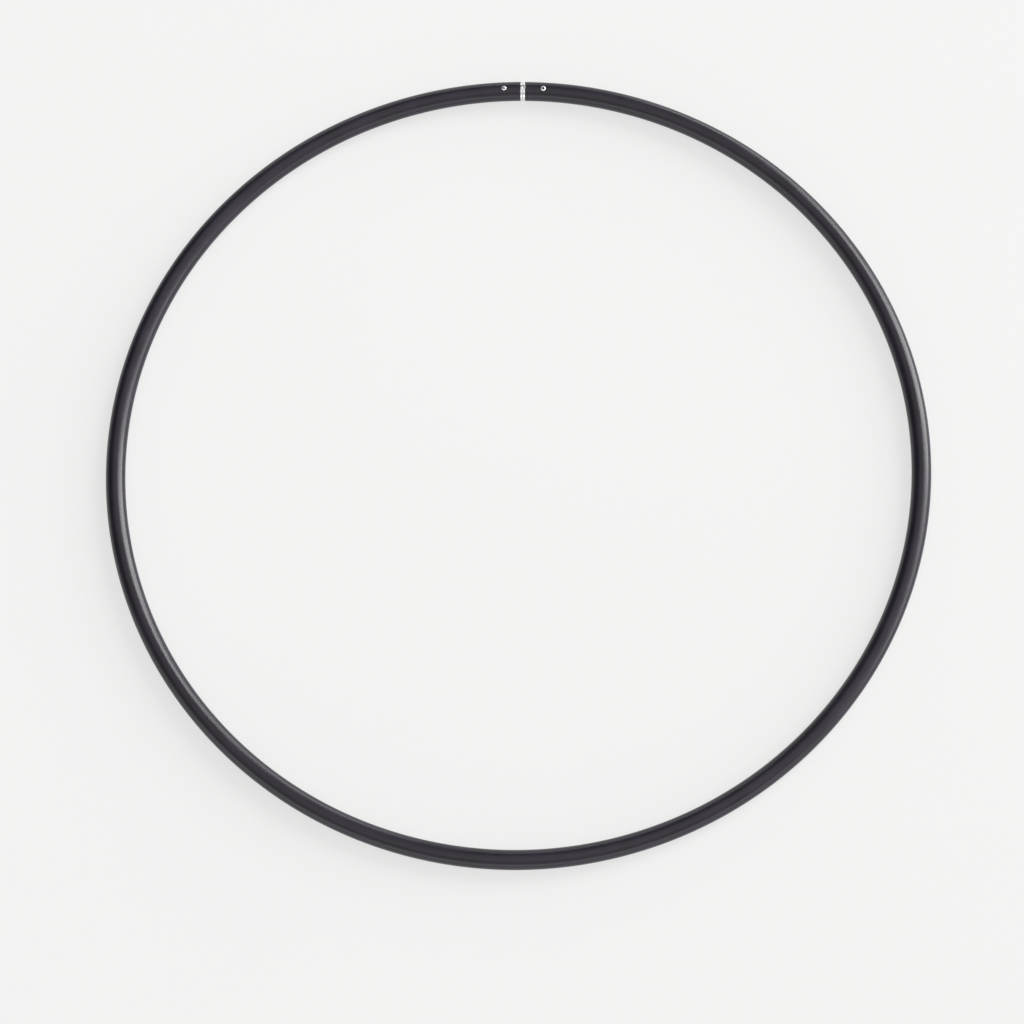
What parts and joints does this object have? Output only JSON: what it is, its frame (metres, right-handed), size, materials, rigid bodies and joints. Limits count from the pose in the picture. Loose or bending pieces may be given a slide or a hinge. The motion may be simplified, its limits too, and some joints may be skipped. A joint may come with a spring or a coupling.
{
  "type": "rhythmic gymnastics hoop",
  "caption": "Black plastic gymnastics hoop, bent from one tube, with a take-apart joint: metal end ferrules, a blind rivet and a sprung snap button.",
  "frame": {"origin": "centre of the ring, on the plane that the hoop lies on", "axes": "+Z along the ring's axis, out of the side that the fasteners face; +Y towards the joint; +X to the right along the tube at the joint"},
  "size_m": [0.84, 0.84, 0.0204],
  "materials": {
    "tube_plastic": "satin black extruded polyethylene, faint lengthwise draw lines and light scuffs",
    "ferrule_metal": "turned and polished",
    "insert_plastic": "grey moulded nylon",
    "rivet_aluminium": "bright, lightly scratched",
    "mandrel_steel": "broken grey steel",
    "button_steel": "polished stainless steel",
    "spring_steel": "rolled strip"
  },
  "bodies": {
    "hoop": {"hoop_tube": "tube_plastic", "left_end_ferrule": "ferrule_metal", "right_end_ferrule": "ferrule_metal", "joint_insert": "insert_plastic", "rivet_body": "rivet_aluminium", "rivet_mandrel": "mandrel_steel", "button_spring": "spring_steel"},
    "button": {"snap_button": "button_steel"}
  },
  "joints": [
    {"name": "button_press", "type": "slide", "parent": "hoop", "child": "button", "axis": [0, 0, -1], "range_m": [0, 0.0038], "stiffness_N_per_m": 500, "springref_m": -0.005, "deforming": ["button_spring"]}
  ]
}
